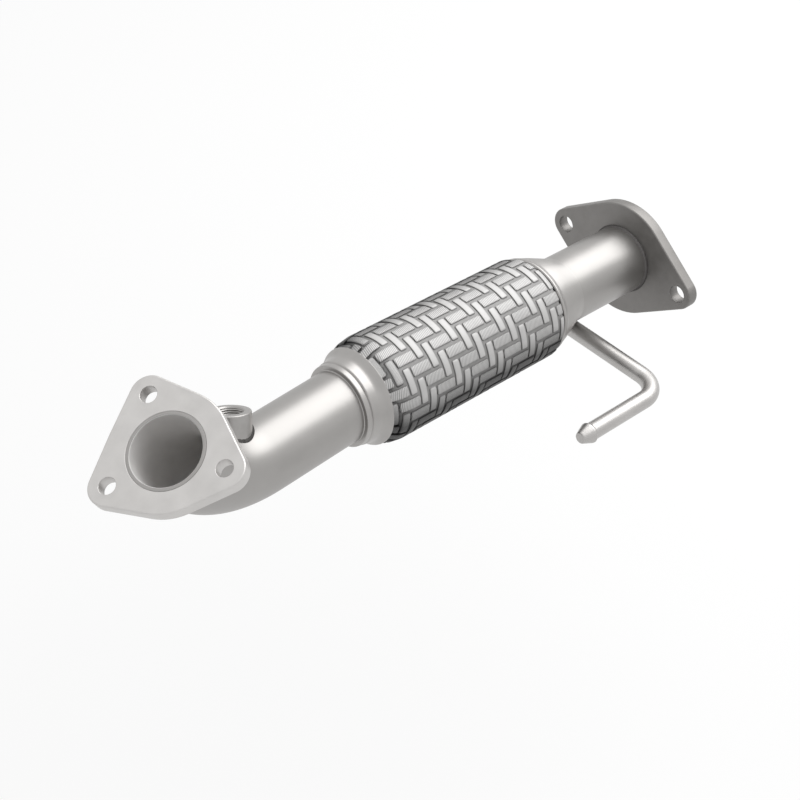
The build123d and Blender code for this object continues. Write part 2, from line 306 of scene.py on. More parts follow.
class Finish(Enum):
    """The finishes of the pipe's pieces.

    The values are the name, tone, shade, metallic, roughness and its spread, then in millimetres the
    size of the clouds and the depth of the relief.
    """

    # Welded stainless tube, brushed and left satin: broad soft highlights, no visible lines.
    SATIN_TUBE = SteelFinish("satin_stainless_tube", "A4A2A0", "9E9C9A", 1.0, 0.40, 0.02, 24.0, 0.0015)
    # The tube's bore, left as drawn and matt; its paleness is painted light, for the light that bounces along
    # it.
    LIT_BORE = SteelFinish("tube_bore_painted_light", "ECEAE8", "E2E0DE", 0.0, 0.55, 0.03, 14.0, 0.004)
    # Spun stainless collars: the same tone, a little sharper, with faint rings.
    SPUN_COLLAR = TurnedFinish("spun_stainless_collar", "A9A7A5", "A2A09E", 1.0, 0.36, 0.02, 18.0, 0.002)
    # Laser-cut plate, blasted and matt; mid-grey, darker than the same steel on the inlet flange, as painted
    # shade.
    SHADED_BLASTED_PLATE = SteelFinish("blasted_plate_painted_shade", "8A8886", "807E7C", 1.0, 0.50, 0.04, 9.0, 0.004)
    # Ground plate: the same steel, finer, and paler as painted light.
    LIT_GROUND_PLATE = SteelFinish("ground_plate_painted_light", "CDCBC9", "C4C2C0", 1.0, 0.45, 0.04, 12.0, 0.003)
    # Turned bung, plain carbon steel: close to the tube's tone.
    TURNED_BUNG = SteelFinish("turned_carbon_steel", "A8A6A4", "9D9B99", 1.0, 0.38, 0.04, 6.0, 0.003)
    # Drawn bar, bright: pale, smooth and without relief.
    BRIGHT_BAR = SteelFinish("bright_drawn_bar", "BAB8B6", "B2B0AE", 1.0, 0.40, 0.01, 20.0, 0.0)
    # Flat ribbon of laid stainless wires.
    LAID_RIBBON = WireFinish("laid_wire_ribbon", "CFCECD", "C8C7C6", 0.5, 0.58, 0.04, 7.0, 0.10)
    # Flat ribbon whose wires lie along it, smooth but for the first rings by the inlet.
    HOOP_RIBBON = WireFinish(
        "hoop_wire_ribbon", "CECDCC", "C8C7C6", 0.45, 0.6, 0.03, 7.0, 0.10, cord_mm=0.8, slant=0.0,
        only_below_x=-262.5,
    )
    # Woven floor under the ribbons, in their shade, with strong painted shade on the sleeve's sides and
    # underside.
    INNER_MESH = SleeveFinish("inner_wire_mesh", "A4A3A2", "989796", 0.3, 0.60, 0.04, 4.0, 0.01, underside_shade=0.04)
    # Weld bead behind a flange, brushed: darker than the tube.
    BRUSHED_WELD = SteelFinish("brushed_weld", "666463", "565453", 1.0, 0.50, 0.06, 2.0, 0.01)
    # Weld bead, painted near-black as the shade in the crevice where it sits.
    SHADED_WELD_BEAD = SteelFinish("weld_bead_painted_shade", "4A4847", "343332", 0.9, 0.46, 0.06, 2.0, 0.01)


class Wardrobe:
    """Makes each finish's material once."""

    def __init__(self) -> None:
        """Starts with no material made."""
        self._made: dict[Finish, bpy.types.Material] = {}

    def get(self, finish: Finish) -> bpy.types.Material:
        """Gives the material of a finish, made at its first use.

        Args:
            finish: The finish.

        Returns:
            Its material.
        """
        if finish not in self._made:
            self._made[finish] = finish.value.material()
        return self._made[finish]


# Mesh making


@dataclass(frozen=True)
class Ring:
    """A ring of a skin, round about its frame's x axis; radius and shift may vary with the angle."""

    place: Matrix
    radius: float | Shape
    shift: float | Shape = 0.0

    def points(self, sides: int) -> list[Vector]:
        """Points of the ring.

        Args:
            sides: How many points it has.

        Returns:
            The points, in millimetres.
        """
        found = []
        for i in range(sides):
            angle = 2 * math.pi * i / sides
            r = self.radius(angle) if callable(self.radius) else self.radius
            x = self.shift(angle) if callable(self.shift) else self.shift
            found.append(self.place @ Vector((x, r * math.cos(angle), r * math.sin(angle))))
        return found


def strip(bm: bmesh.types.BMesh, rows: Sequence[Sequence[bmesh.types.BMVert]], closed: bool) -> None:
    """Joins rows of vertices, each a loop, with smooth faces.

    Args:
        bm: The mesh.
        rows: Loops of the same length, in order.
        closed: Whether the last row joins the first.
    """
    pairs = list(zip(rows, rows[1:])) + ([(rows[-1], rows[0])] if closed else [])
    for near, far in pairs:
        for i, a in enumerate(near):
            j = (i + 1) % len(near)
            bm.faces.new((a, near[j], far[j], far[i])).smooth = True


def finished(name: str, bm: bmesh.types.BMesh, crease: float = 38.0) -> Piece:
    """Turns a mesh in millimetres into an object at the origin.

    Args:
        name: The object's name.
        bm: The mesh, which is freed.
        crease: Angle in degrees above which an edge shows sharp.

    Returns:
        The object, linked to the scene.
    """
    bmesh.ops.remove_doubles(bm, verts=bm.verts, dist=1e-5)
    bmesh.ops.recalc_face_normals(bm, faces=bm.faces)
    for edge in bm.edges:
        edge.smooth = edge.calc_face_angle(0.0) < math.radians(crease)
    mesh = bpy.data.meshes.new(name)
    bm.to_mesh(mesh)
    bm.free()
    mesh.transform(Matrix.Scale(MM, 4))
    return linked(name, mesh)


def skin(
    name: str, rings: Sequence[Ring], sides: int = 144, closed: bool = True, inner_from: int | None = None
) -> Piece:
    """Makes a surface through rings.

    Args:
        name: The object's name.
        rings: The rings, in order.
        sides: Points in each ring.
        closed: Whether the last ring joins the first, as on a tube with a wall.
        inner_from: The ring from which the faces are a bore's, and take the second material.

    Returns:
        The object.
    """
    bm = bmesh.new()
    rows = [[bm.verts.new(p) for p in ring.points(sides)] for ring in rings]
    strip(bm, rows, closed)
    if inner_from is not None:
        bm.faces.ensure_lookup_table()
        for face in bm.faces[inner_from * sides:]:
            face.material_index = 1
    return finished(name, bm)


def rounded(outline: Sequence[tuple[float, float, float]], steps: int = 5) -> Outline:
    """Rounds the corners of a closed outline.

    Args:
        outline: (x, radius, size of the rounding) for each corner.
        steps: Segments in each rounding.

    Returns:
        The (x, radius) points, with a holding point beside each rounding.
    """
    points: Outline = []
    count = len(outline)
    for i, (x, r, size) in enumerate(outline):
        corner = Vector((x, r))
        back = Vector(outline[i - 1][:2]) - corner
        ahead = Vector(outline[(i + 1) % count][:2]) - corner
        reach = min(size, 0.42 * back.length, 0.42 * ahead.length)
        a, b = corner + back.normalized() * reach, corner + ahead.normalized() * reach
        points.append(tuple(a + back.normalized() * 0.05 * reach))
        for k in range(steps + 1):
            t = k / steps
            points.append(tuple((1 - t) ** 2 * a + 2 * t * (1 - t) * corner + t * t * b))
        points.append(tuple(b + ahead.normalized() * 0.05 * reach))
    return points


def turned(name: str, outline: Outline) -> Piece:
    """Makes a solid of revolution about the x axis."""
    return skin(name, [Ring(slide(x), r) for x, r in outline])


def softened(piece: Piece, low: float, high: float, least: float) -> Piece:
    """Shades a span of a turned piece's outside as polished over, almost as one cylinder.

    Args:
        piece: The turned piece.
        low: The x where the span starts.
        high: The x where it ends.
        least: Least radius of the outside there.

    Returns:
        The piece.
    """
    kept_lean = 0.35
    normals = []
    for vertex in piece.data.vertices:
        x, y, z = vertex.co / MM
        r = math.hypot(y, z)
        soft = Vector((kept_lean * vertex.normal.x, y / r, z / r)).normalized()
        normals.append(soft if low <= x <= high and r > least else Vector())
    piece.data.normals_split_custom_set_from_vertices(normals)
    return piece


def tube(name: str, frames: Sequence[Matrix], lip: float = 0.4) -> Piece:
    """Makes a length of the pipe's tube, whose bore takes the second material.

    Args:
        name: The object's name.
        frames: Frames along it, which run along their own -x.
        lip: Size of the rounding at the tube's edges.

    Returns:
        The object.
    """
    first, last, middle = frames[0], frames[-1], frames[1:-1]
    rings = [Ring(first, BORE_R + lip), Ring(first, TUBE_R - lip), Ring(first @ slide(-lip), TUBE_R)]
    rings += [Ring(f, TUBE_R) for f in middle]
    rings += [Ring(last @ slide(lip), TUBE_R), Ring(last @ slide(0.3 * lip), TUBE_R - 0.3 * lip)]
    rings += [Ring(last, TUBE_R - lip), Ring(last, BORE_R + lip)]
    bore = len(rings) - 1
    rings += [Ring(last @ slide(lip), BORE_R)] + [Ring(f, BORE_R) for f in reversed(middle)]
    return skin(name, rings + [Ring(first @ slide(-lip), BORE_R)], inner_from=bore)


def baked(piece: Piece) -> Piece:
    """Turns an object's modifiers into a plain mesh.

    Args:
        piece: The object with modifiers, which is removed.

    Returns:
        A new object of the same name, with the evaluated mesh.
    """
    name = piece.name
    seen = piece.evaluated_get(bpy.context.evaluated_depsgraph_get())
    mesh = bpy.data.meshes.new_from_object(seen)
    bpy.data.objects.remove(piece)
    mesh.name = name
    return linked(name, mesh)


# Bent stock


@dataclass(frozen=True)
class Bend:
    """A straight run and the bend after it. The clock turns the stock about itself before the bend."""

    run: float
    clock: float
    radius: float
    angle: float

    def along(self, angle: float) -> Matrix:
        """Move from the bend's start to an angle along it, its centre lying on +z."""
        lift = Matrix.Translation((0.0, 0.0, self.radius))
        return lift @ turn(angle, "Y") @ lift.inverted()


@dataclass(frozen=True)
class Route:
    """Centreline of bent stock, which runs along its frames' -x."""

    start: Matrix
    bends: tuple[Bend, ...]
    end_run: float

    def bend_start(self, index: int) -> Matrix:
        """Frame where a bend starts, after its clock turn.

        Args:
            index: The bend's number, from nought.

        Returns:
            The frame.
        """
        place = self.start
        for i, bend in enumerate(self.bends[:index + 1]):
            place = place @ slide(-bend.run) @ turn(bend.clock, "X")
            if i < index:
                place = place @ bend.along(bend.angle)
        return place

    def end(self) -> Matrix:
        """Frame at the stock's end, after every clock turn."""
        last = self.bends[-1]
        return self.bend_start(len(self.bends) - 1) @ last.along(last.angle) @ slide(-self.end_run)

    def frames(self, step: float = 2.0) -> list[Matrix]:
        """Frames from end to end, without the clock turns, so that a skin isn't twisted.

        Args:
            step: Degrees between frames in a bend.

        Returns:
            The frames.
        """
        found, clock = [self.start], 0.0
        for i, bend in enumerate(self.bends):
            clock += bend.clock
            count = max(2, round(bend.angle / step))
            begin, untwist = self.bend_start(i), turn(-clock, "X")
            found += [begin @ bend.along(bend.angle * k / count) @ untwist for k in range(count + 1)]
        return found + [self.end() @ turn(-clock, "X")]


# Sub-assemblies


@dataclass
class Assembly:
    """A part of the pipe, which dresses its pieces from a wardrobe."""

    wardrobe: Wardrobe

    def dress(
        self, piece: Piece, finish: Finish, slot: str, nodes: Sequence[str] = (), bore: Finish | None = None
    ) -> None:
        """Gives a piece its finish, its body and the CAD nodes that it stands for.

        Args:
            piece: The finished object.
            finish: Its finish.
            slot: The record's material slot; not used.
            nodes: The CAD nodes that it replaces.
            bore: The second finish, of a bore's faces.
        """
        faces = piece.data.polygons
        kept = [face.material_index for face in faces]
        piece.data.materials.clear()
        piece.data.materials.append(self.wardrobe.get(finish))
        if bore:
            piece.data.materials.append(self.wardrobe.get(bore))
            faces.foreach_set("material_index", kept)
        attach(piece, BODY)
        if nodes:
            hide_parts(*nodes)
        LOG.info("%s: %d faces", piece.name, len(faces))


@dataclass
class FlangePlate:
    """A flat plate with a hulled outline, fixing holes and a bore, its mating face on z = 0."""

    name: str
    thickness: float
    body_r: float
    lobe_r: float
    hole_r: float
    spots: tuple[tuple[float, float], ...]
    edge: float = 1.12
    hole_edge: float = 0.4
    hole_sides: int = 96
    steps: int = 4

    def outline(self, inset: float) -> Outline:
        """Outer outline, moved inwards by the inset.

        Args:
            inset: How far inside the plate's edge.

        Returns:
            Its points.
        """
        circles = [(0.0, 0.0, self.body_r)] + [(x, y, self.lobe_r) for x, y in self.spots]
        points = []
        for k in range(360):
            c, s = math.cos(math.radians(k)), math.sin(math.radians(k))
            x, y, r = max(circles, key=lambda circle: circle[0] * c + circle[1] * s + circle[2])
            points.append((x + (r - inset) * c, y + (r - inset) * s))
        return points

    def hole(self, x: float, y: float, r: float, inset: float) -> Outline:
        """Outline of a round hole, opened out by the inset."""
        angles = [2 * math.pi * k / self.hole_sides for k in range(self.hole_sides)]
        return [(x + (r + inset) * math.cos(a), y + (r + inset) * math.sin(a)) for a in angles]

    def build(self, place: Matrix) -> Piece:
        """Builds the plate.

        Args:
            place: Frame whose z axis is the mating face's outward normal.

        Returns:
            The object.
        """
        bm = bmesh.new()
        loops: list[tuple[Callable[[float], Outline], float]] = [(self.outline, self.edge)]
        for x, y, r in [(0.0, 0.0, TUBE_R)] + [(x, y, self.hole_r) for x, y in self.spots]:
            loops.append((lambda inset, x=x, y=y, r=r: self.hole(x, y, r, inset), self.hole_edge))
        rims: dict[float, list[bmesh.types.BMEdge]] = {0.0: [], -self.thickness: []}
        for loop, edge in loops:
            turns = [math.pi / 2 * k / self.steps for k in range(self.steps + 1)]
            upper = [(edge * (1 - math.sin(t)), -edge * (1 - math.cos(t))) for t in turns]
            levels = upper + [(inset, -self.thickness - z) for inset, z in reversed(upper)]
            rows = [[bm.verts.new(place @ Vector((x, y, z))) for x, y in loop(inset)] for inset, z in levels]
            strip(bm, rows, closed=False)
            for z, row in ((0.0, rows[0]), (-self.thickness, rows[-1])):
                rims[z] += [bm.edges.get((row[i - 1], row[i])) for i in range(len(row))]
        for edges in rims.values():
            bmesh.ops.triangle_fill(bm, use_beauty=True, edges=edges)
        return finished(self.name, bm)


@dataclass
class WeldBead:
    """A rippled fillet bead around a tube, its foot on a plate and its toe along the tube's -x."""

    name: str
    leg: float
    height: float
    ripples: int = 90
    scallop: float = 0.1
    skew: float = 0.35
    bulge: float = 0.18
    sink: float = 0.4
    steps: int = 8

    def build(self, place: Matrix, toe: float = 1.0) -> Piece:
        """Builds the bead.

        Args:
            place: Frame at the foot, with x along the tube.
            toe: 1 where the bead runs out along -x, and -1 where it runs out along +x.

        Returns:
            The object.
        """
        rings = [Ring(place, TUBE_R - self.sink)]
        for k in range(self.steps + 1):
            t = k / self.steps
            bulge = self.bulge * math.sin(math.pi * t)
            x, rise = -toe * self.leg * t, self.height * (1 - t) + bulge * self.height

            def radius(angle: float, rise: float = rise, t: float = t) -> float:
                """Radius of the bead's surface, scalloped by the welder's steps."""
                step = (self.ripples * angle / (2 * math.pi) + self.skew * t) % 1.0
                return TUBE_R + rise * (1 - self.scallop + self.scallop * math.sin(math.pi * step))

            rings.append(Ring(place @ slide(x), radius))
        rings.append(Ring(place @ slide(-toe * self.leg), TUBE_R - self.sink))
        return skin(self.name, rings, sides=720)


@dataclass
class InletPipe(Assembly):
    """The bent inlet pipe with its three-hole flange and the flange's weld."""

    route: Route = field(default_factory=lambda: Route(
        slide(-268.7), (Bend(20.3, 167.0, 75.0, 4.5), Bend(64.1, -162.9, 75.0, 62.0)), 19.8,
    ))
    plate_t: float = 9.5
    body_r: float = 39.6
    lobe_r: float = 12.8
    hole_r: float = 5.5
    hole_circle_r: float = 40.0
    hole_angles: tuple[float, ...] = (-157.4, -26.4, 71.6)

    def face(self) -> Matrix:
        """Frame of the mating face, z outwards."""
        return self.route.end() @ turn(-90, "Y") @ turn(90, "Z")

    def drilled_tube(self, bung: "SensorBung") -> Piece:
        """Makes the tube and drills the sensor's hole through its wall.

        Args:
            bung: The bung that stands over the hole.

        Returns:
            The tube, as a plain mesh, with both materials, so that the cut keeps their faces apart.
        """
        pipe = tube("inlet_pipe_tube", self.route.frames())
        for finish in (Finish.SATIN_TUBE, Finish.LIT_BORE):
            pipe.data.materials.append(self.wardrobe.get(finish))
        place, near, far = bung.place(self), 5.0, 32.0
        outline = ((near, 0.0), (near, bung.bore_r), (far, bung.bore_r), (far, 0.0))
        drill = skin("drill", [Ring(place @ slide(x), r) for x, r in outline], sides=64, closed=False)
        cut = pipe.modifiers.new("drill", "BOOLEAN")
        cut.object, cut.operation, cut.solver = drill, "DIFFERENCE", "EXACT"
        pipe = baked(pipe)
        bpy.data.objects.remove(drill)
        return pipe

    def build(self, bung: "SensorBung") -> None:
        """Builds and dresses the pieces.

        Args:
            bung: The bung on the bend.
        """
        pipe = self.drilled_tube(bung)
        self.dress(pipe, Finish.SATIN_TUBE, "tube_stainless", ["inlet_pipe"], Finish.LIT_BORE)
        angles, r = [math.radians(a) for a in self.hole_angles], self.hole_circle_r
        spots = tuple((r * math.cos(a), r * math.sin(a)) for a in angles)
        plate = FlangePlate("inlet_flange_plate", self.plate_t, self.body_r, self.lobe_r, self.hole_r, spots)
        self.dress(plate.build(self.face()), Finish.LIT_GROUND_PLATE, "flange_steel", ["inlet_flange"])
        back = self.face() @ Matrix.Translation((0, 0, -self.plate_t)) @ turn(-90, "Y")
        bead = WeldBead("inlet_flange_bead", leg=2.4, height=1.6).build(back)
        self.dress(bead, Finish.BRUSHED_WELD, "weld_metal", ["inlet_flange_weld"])


@dataclass
class OutletPipe(Assembly):
    """The straight outlet pipe with its two-hole flange and the flange's weld."""

    start_x: float = -117.1
    plate_t: float = 9.0
    body_r: float = 43.98
    lobe_r: float = 12.0
    hole_r: float = 6.5
    spacing: float = 110.0

    def build(self) -> None:
        """Builds and dresses the pieces."""
        frames = [slide(x) for x in (0.0, -6.0, -60.0, self.start_x + 6.0, self.start_x)]
        pipe = tube("outlet_pipe_tube", frames)
        self.dress(pipe, Finish.SATIN_TUBE, "tube_stainless", ["outlet_pipe"], Finish.LIT_BORE)
        spots = ((-self.spacing / 2, 0.0), (self.spacing / 2, 0.0))
        plate = FlangePlate("outlet_flange_plate", self.plate_t, self.body_r, self.lobe_r, self.hole_r, spots)
        face = turn(90, "Z") @ turn(90, "X")
        self.dress(plate.build(face), Finish.SHADED_BLASTED_PLATE, "flange_steel", ["outlet_flange"])
        bead = WeldBead("outlet_flange_bead", leg=2.2, height=1.3).build(slide(-self.plate_t))
        self.dress(bead, Finish.BRUSHED_WELD, "weld_metal", ["outlet_flange_weld"])


@dataclass
class SensorBung(Assembly):
    """The threaded bung on the inside of the bend, with the weld around its foot."""

    outer_r: float = 14.0
    bore_r: float = 8.25
    top: float = 38.0
    bend_angle: float = 19.0
    clock: float = 25.0
    thread_pitch: float = 1.5
    thread_depth: float = 0.65
    turns: float = 9.0
    lead_in: float = 0.9
    ripples: int = 34

    def place(self, pipe: InletPipe) -> Matrix:
        """Frame on the pipe's centreline, x along the bung's axis.

        Args:
            pipe: The pipe that carries the bung.

        Returns:
            The frame.
        """
        bend = pipe.route.bends[1]
        start = pipe.route.bend_start(1)
        return start @ bend.along(self.bend_angle) @ turn(-self.clock, "X") @ turn(-90, "Y")

    def saddle(self, pipe: InletPipe, radius: float) -> Shape:
        """Height of the pipe's outside under a circle about the bung's axis.

        Args:
            pipe: The pipe that carries the bung.
            radius: The circle's radius.

        Returns:
            The height for an angle around the bung.
        """
        bend, place = pipe.route.bends[1], self.place(pipe)
        to_bend = pipe.route.bend_start(1).inverted()

        def height(angle: float) -> float:
            """Height at an angle, found by halving.

            Args:
                angle: The angle around the bung.

            Returns:
                The height.
            """
            low, high = 5.0, 34.0
            for _ in range(22):
                middle = (low + high) / 2
                at = Vector((middle, radius * math.cos(angle), radius * math.sin(angle)))
                p = to_bend @ place @ at
                across = math.hypot(p.x, p.z - bend.radius) - bend.radius
                low, high = (middle, high) if math.hypot(across, p.y) < TUBE_R else (low, middle)
            return low

        return height

    def body(self, pipe: InletPipe) -> Piece:
        """Makes the turned body with its thread.

        Args:
            pipe: The pipe that carries the bung.

        Returns:
            The body.
        """
        place = self.place(pipe)
        rings = [
            Ring(place, self.bore_r, self.saddle(pipe, self.bore_r)),
            Ring(place, self.outer_r, self.saddle(pipe, self.outer_r)),
        ]
        for x, r in ((-1.2, 0.0), (-1.0, 0.0), (-0.45, -0.12), (-0.12, -0.45), (0.0, -1.0), (0.0, -1.2)):
            rings.append(Ring(place, self.outer_r + r, self.top + x))
        mouth, lead_in, steps = self.bore_r + self.thread_depth, self.lead_in, int(self.turns * 8)
        for x, r in ((0.0, 0.9), (0.0, 0.7), (-0.15, 0.55), (-lead_in, 0.0)):
            rings.append(Ring(place, mouth + r, self.top + x))
        for k in range(steps + 1):
            depth = lead_in + self.thread_pitch * self.turns * k / steps

            def radius(angle: float, depth: float = depth) -> float:
                """Radius of the thread's flank at an angle."""
                phase = (depth / self.thread_pitch - angle / (2 * math.pi)) % 1.0
                return self.bore_r + self.thread_depth * abs(2 * phase - 1)

            rings.append(Ring(place, radius, self.top - depth))
        rings.append(Ring(place, self.bore_r, self.top - lead_in - self.thread_pitch * self.turns - 0.2))
        return skin("sensor_bung_body", rings, sides=96)

    def bead(self, pipe: InletPipe) -> Piece:
        """Makes the weld bead around the foot, following the saddle.

        Args:
            pipe: The pipe that carries the bung.

        Returns:
            The bead.
        """
        place = self.place(pipe)
        steps = ((-0.2, 1.5), (0.25, 1.25), (0.7, 0.85), (1.1, 0.45), (1.5, -0.3), (-0.2, -0.4))
        rings = []
        for out, rise in steps:
            ground = self.saddle(pipe, self.outer_r + out)

            def shift(angle: float, ground: Shape = ground, rise: float = rise) -> float:
                """Height of the bead's surface, with its ripples."""
                return ground(angle) + rise * (0.92 + 0.08 * math.sin(self.ripples * angle))

            rings.append(Ring(place, self.outer_r + out, shift))
        return skin("sensor_bung_bead", rings, sides=240)

    def build(self, pipe: InletPipe) -> None:
        """Builds and dresses the pieces of the bung on a pipe."""
        self.dress(self.body(pipe), Finish.TURNED_BUNG, "bung_steel", ["sensor_bung"])
        self.dress(self.bead(pipe), Finish.SHADED_WELD_BEAD, "weld_metal", ["sensor_bung_weld"])


class RibbonRun(Enum):
    """Which way a family of ribbons runs."""

    AXIAL = "axial"
    HOOP = "hoop"


@dataclass
class RibbonFamily:
    """One family of the woven sleeve's flat ribbons, made by Geometry Nodes.

    A ribbon goes over two of the crossing ones and under the next two, one step on from its neighbour.
    """

    name: str
    run: RibbonRun
    count: int
    width: float
    samples: int
    crossing: float
    lag: float
    thickness: float = 0.9
    crown: float = 0.12
    lift: float = 1.7
    steepness: float = 0.15
    gather: float = 0.8
    corner: float = 0.1
    rows: int = 24
    row_phase: float = -1.57
    pitch: float = 7.94
    first_ring: float = -265.5
    full_r: float = 38.1
    profile: Outline = field(default_factory=lambda: [
        (-276.4, 32.9), (-274.4, 33.1), (-272.4, 34.2), (-267.2, 37.0), (-260.0, 38.1),
        (-114.3, 38.1), (-112.2, 36.3), (-110.6, 33.1), (-108.8, 33.0),
    ])

    @property
    def begin(self) -> float:
        """Where the sleeve begins, under the inlet collar's lip."""
        return self.profile[0][0]

    @property
    def end(self) -> float:
        """Where the sleeve ends, under the outlet collar's bead."""
        return self.profile[-1][0]

    def _ribbon(self, tree: Tree, given: Sockets) -> Socket:
        """Adds the straight ribbons, one on top of the other, each with its own number.

        Args:
            tree: The tree.
            given: The tree's inputs.

        Returns:
            The realized ribbons, along X, their width along Y and their thickness along Z.
        """
        hoop = self.run is RibbonRun.HOOP
        start, stop = (0.0, 2 * math.pi) if hoop else (self.begin, self.end)
        line = node(tree, "GeometryNodeCurvePrimitiveLine", {"Start": (start, 0, 0), "End": (stop, 0, 0)})
        path = node(tree, "GeometryNodeResampleCurve", {"Curve": line, "Count": given["Samples"]})
        piece = node(tree, "GeometryNodeCurveToMesh", {
            "Curve": path, "Profile Curve": self._section(tree, given), "Fill Caps": not hoop,
        })
        spots = node(tree, "GeometryNodePoints", {"Count": given["Count"]})
        spread = node(tree, "GeometryNodeInstanceOnPoints", {"Points": spots, "Instance": piece})
        numbered = node(tree, "GeometryNodeStoreNamedAttribute", {
            "Geometry": spread, "Name": "ribbon", "Value": node(tree, "GeometryNodeInputIndex"),
        }, data_type="FLOAT", domain="INSTANCE")
        return node(tree, "GeometryNodeRealizeInstances", {"Geometry": numbered}).outputs[0]

    def _section(self, tree: Tree, given: Sockets) -> Node:
        """Adds a ribbon's section: a flat bar with well rounded edges.

        Args:
            tree: The tree.
            given: The tree's inputs.

        Returns:
            The node whose output is the closed section, its width along X.
        """
        circle = node(tree, "GeometryNodeCurvePrimitiveCircle", {"Resolution": 14, "Radius": 1.0})
        at = node(tree, "ShaderNodeSeparateXYZ", {0: node(tree, "GeometryNodeInputPosition")}).outputs
        sides = []
        for axis, squareness, size in ((0, 0.3, given["Width"]), (1, 0.5, given["Thickness"])):
            reach = calc(tree, "POWER", calc(tree, "ABSOLUTE", at[axis]), squareness)
            signed = calc(tree, "MULTIPLY", reach, calc(tree, "SIGN", at[axis]))
            sides.append(calc(tree, "MULTIPLY", signed, calc(tree, "MULTIPLY", size, 0.5)))
        spot = node(tree, "ShaderNodeCombineXYZ", {0: sides[0], 1: sides[1]})
        return node(tree, "GeometryNodeSetPosition", {"Geometry": circle, "Position": spot})

    def _passed(self, tree: Tree, given: Sockets, x: Wire, number: Wire) -> Node:
        """Adds the count of crossing ribbons that a point has passed, less its own ribbon's lag.

        Args:
            tree: The tree.
            given: The tree's inputs.
            x: The point's place along the straight ribbon.
            number: The ribbon's number.

        Returns:
            The node whose output is the count.
        """
        if self.run is RibbonRun.HOOP:
            turned_on = calc(tree, "SUBTRACT", x, math.radians(self.row_phase))
            run = calc(tree, "DIVIDE", turned_on, 2 * math.pi / self.rows)
        else:
            run = calc(tree, "DIVIDE", calc(tree, "SUBTRACT", x, given["First ring"]), given["Pitch"])
        return calc(tree, "ADD", run, calc(tree, "MULTIPLY_ADD", number, -1.0, self.lag))

    def _dip(self, tree: Tree, given: Sockets, count: Wire, edge: Wire) -> Node:
        """Adds the depth of a point below the ribbon's crest, where the ribbon goes under the others.

        Args:
            tree: The tree.
            given: The tree's inputs.
            count: The crossing ribbons passed.
            edge: Square of the point's share of the way from the ribbon's middle to its edge.

        Returns:
            The node whose output is the depth.
        """
        wave = calc(tree, "COSINE", calc(tree, "MULTIPLY", count, math.pi / 2))
        held = calc(tree, "MULTIPLY_ADD", edge, -self.corner, wave)
        ends = (self.crossing - self.steepness, self.crossing + self.steepness)
        return ranged(tree, held, ends, (given["Lift"], 0.0), interpolation_type="SMOOTHSTEP")

    def _wrap(
        self, tree: Tree, given: Sockets, at: Sockets, number: Wire, shift: Wire
    ) -> tuple[Node, Node, Node]:
        """Adds a point's place on the sleeve.

        Args:
            tree: The tree.
            given: The tree's inputs.
            at: The point's place on the straight ribbon.
            number: The ribbon's number.
            shift: How far the point is gathered towards a crossing, in crossing ribbons.

        Returns:
            The nodes whose outputs are its x, its angle and its distance along the ribbon in metres.
        """
        step, phase = 2 * math.pi / self.rows, math.radians(self.row_phase)
        if self.run is RibbonRun.HOOP:
            ring = calc(tree, "SUBTRACT", number, 1.0)
            middle = calc(tree, "MULTIPLY_ADD", ring, given["Pitch"], given["First ring"])
            angle = calc(tree, "MULTIPLY_ADD", shift, step, at[0])
            return calc(tree, "ADD", middle, at[1]), angle, calc(tree, "MULTIPLY", angle, self.full_r * MM)
        along = calc(tree, "MULTIPLY_ADD", shift, given["Pitch"], at[0])
        middle = calc(tree, "MULTIPLY_ADD", number, step, phase)
        angle = calc(tree, "ADD", middle, calc(tree, "DIVIDE", at[1], self.full_r))
        return along, angle, calc(tree, "MULTIPLY", along, MM)

    def _place(self, tree: Tree, given: Sockets, ribbons: Wire) -> Node:
        """Wraps the ribbons round the sleeve and weaves them.

        Args:
            tree: The tree.
            given: The tree's inputs.
            ribbons: The straight ribbons.

        Returns:
            The node whose output is the woven family.
        """
        at = node(tree, "ShaderNodeSeparateXYZ", {0: node(tree, "GeometryNodeInputPosition")}).outputs
        number = node(tree, "GeometryNodeInputNamedAttribute", {"Name": "ribbon"}, data_type="FLOAT")
        passed = self._passed(tree, given, at[0], number)
        swing = calc(tree, "SINE", calc(tree, "MULTIPLY", passed, math.pi))
        shift = calc(tree, "MULTIPLY", swing, self.gather / math.pi)
        half = calc(tree, "DIVIDE", at[1], self.width / 2)
        edge = calc(tree, "MULTIPLY", half, half)
        dip = self._dip(tree, given, calc(tree, "ADD", passed, shift), edge)
        along, angle, run = self._wrap(tree, given, at, number, shift)

        share = ranged(tree, along, (self.begin, self.end))
        curve = node(tree, "ShaderNodeFloatCurve", {"Value": share})
        self._shape(curve)
        envelope = calc(tree, "MULTIPLY", curve, self.full_r)
        sag = calc(tree, "MULTIPLY_ADD", edge, self.crown, dip)
        height = calc(tree, "SUBTRACT", at[2], sag)
        below = calc(tree, "MULTIPLY_ADD", given["Thickness"], -0.5, height)
        radius = calc(tree, "ADD", envelope, below)
        y = calc(tree, "MULTIPLY", radius, calc(tree, "COSINE", angle))
        z = calc(tree, "MULTIPLY", radius, calc(tree, "SINE", angle))
        spot = scaled(tree, node(tree, "ShaderNodeCombineXYZ", {0: along, 1: y, 2: z}), MM)

        chart = node(tree, "ShaderNodeCombineXYZ", {0: run, 1: calc(tree, "MULTIPLY", at[1], MM)})
        charted = node(tree, "GeometryNodeStoreNamedAttribute", {
            "Geometry": ribbons, "Name": "UVMap", "Value": chart,
        }, data_type="FLOAT2", domain="CORNER")
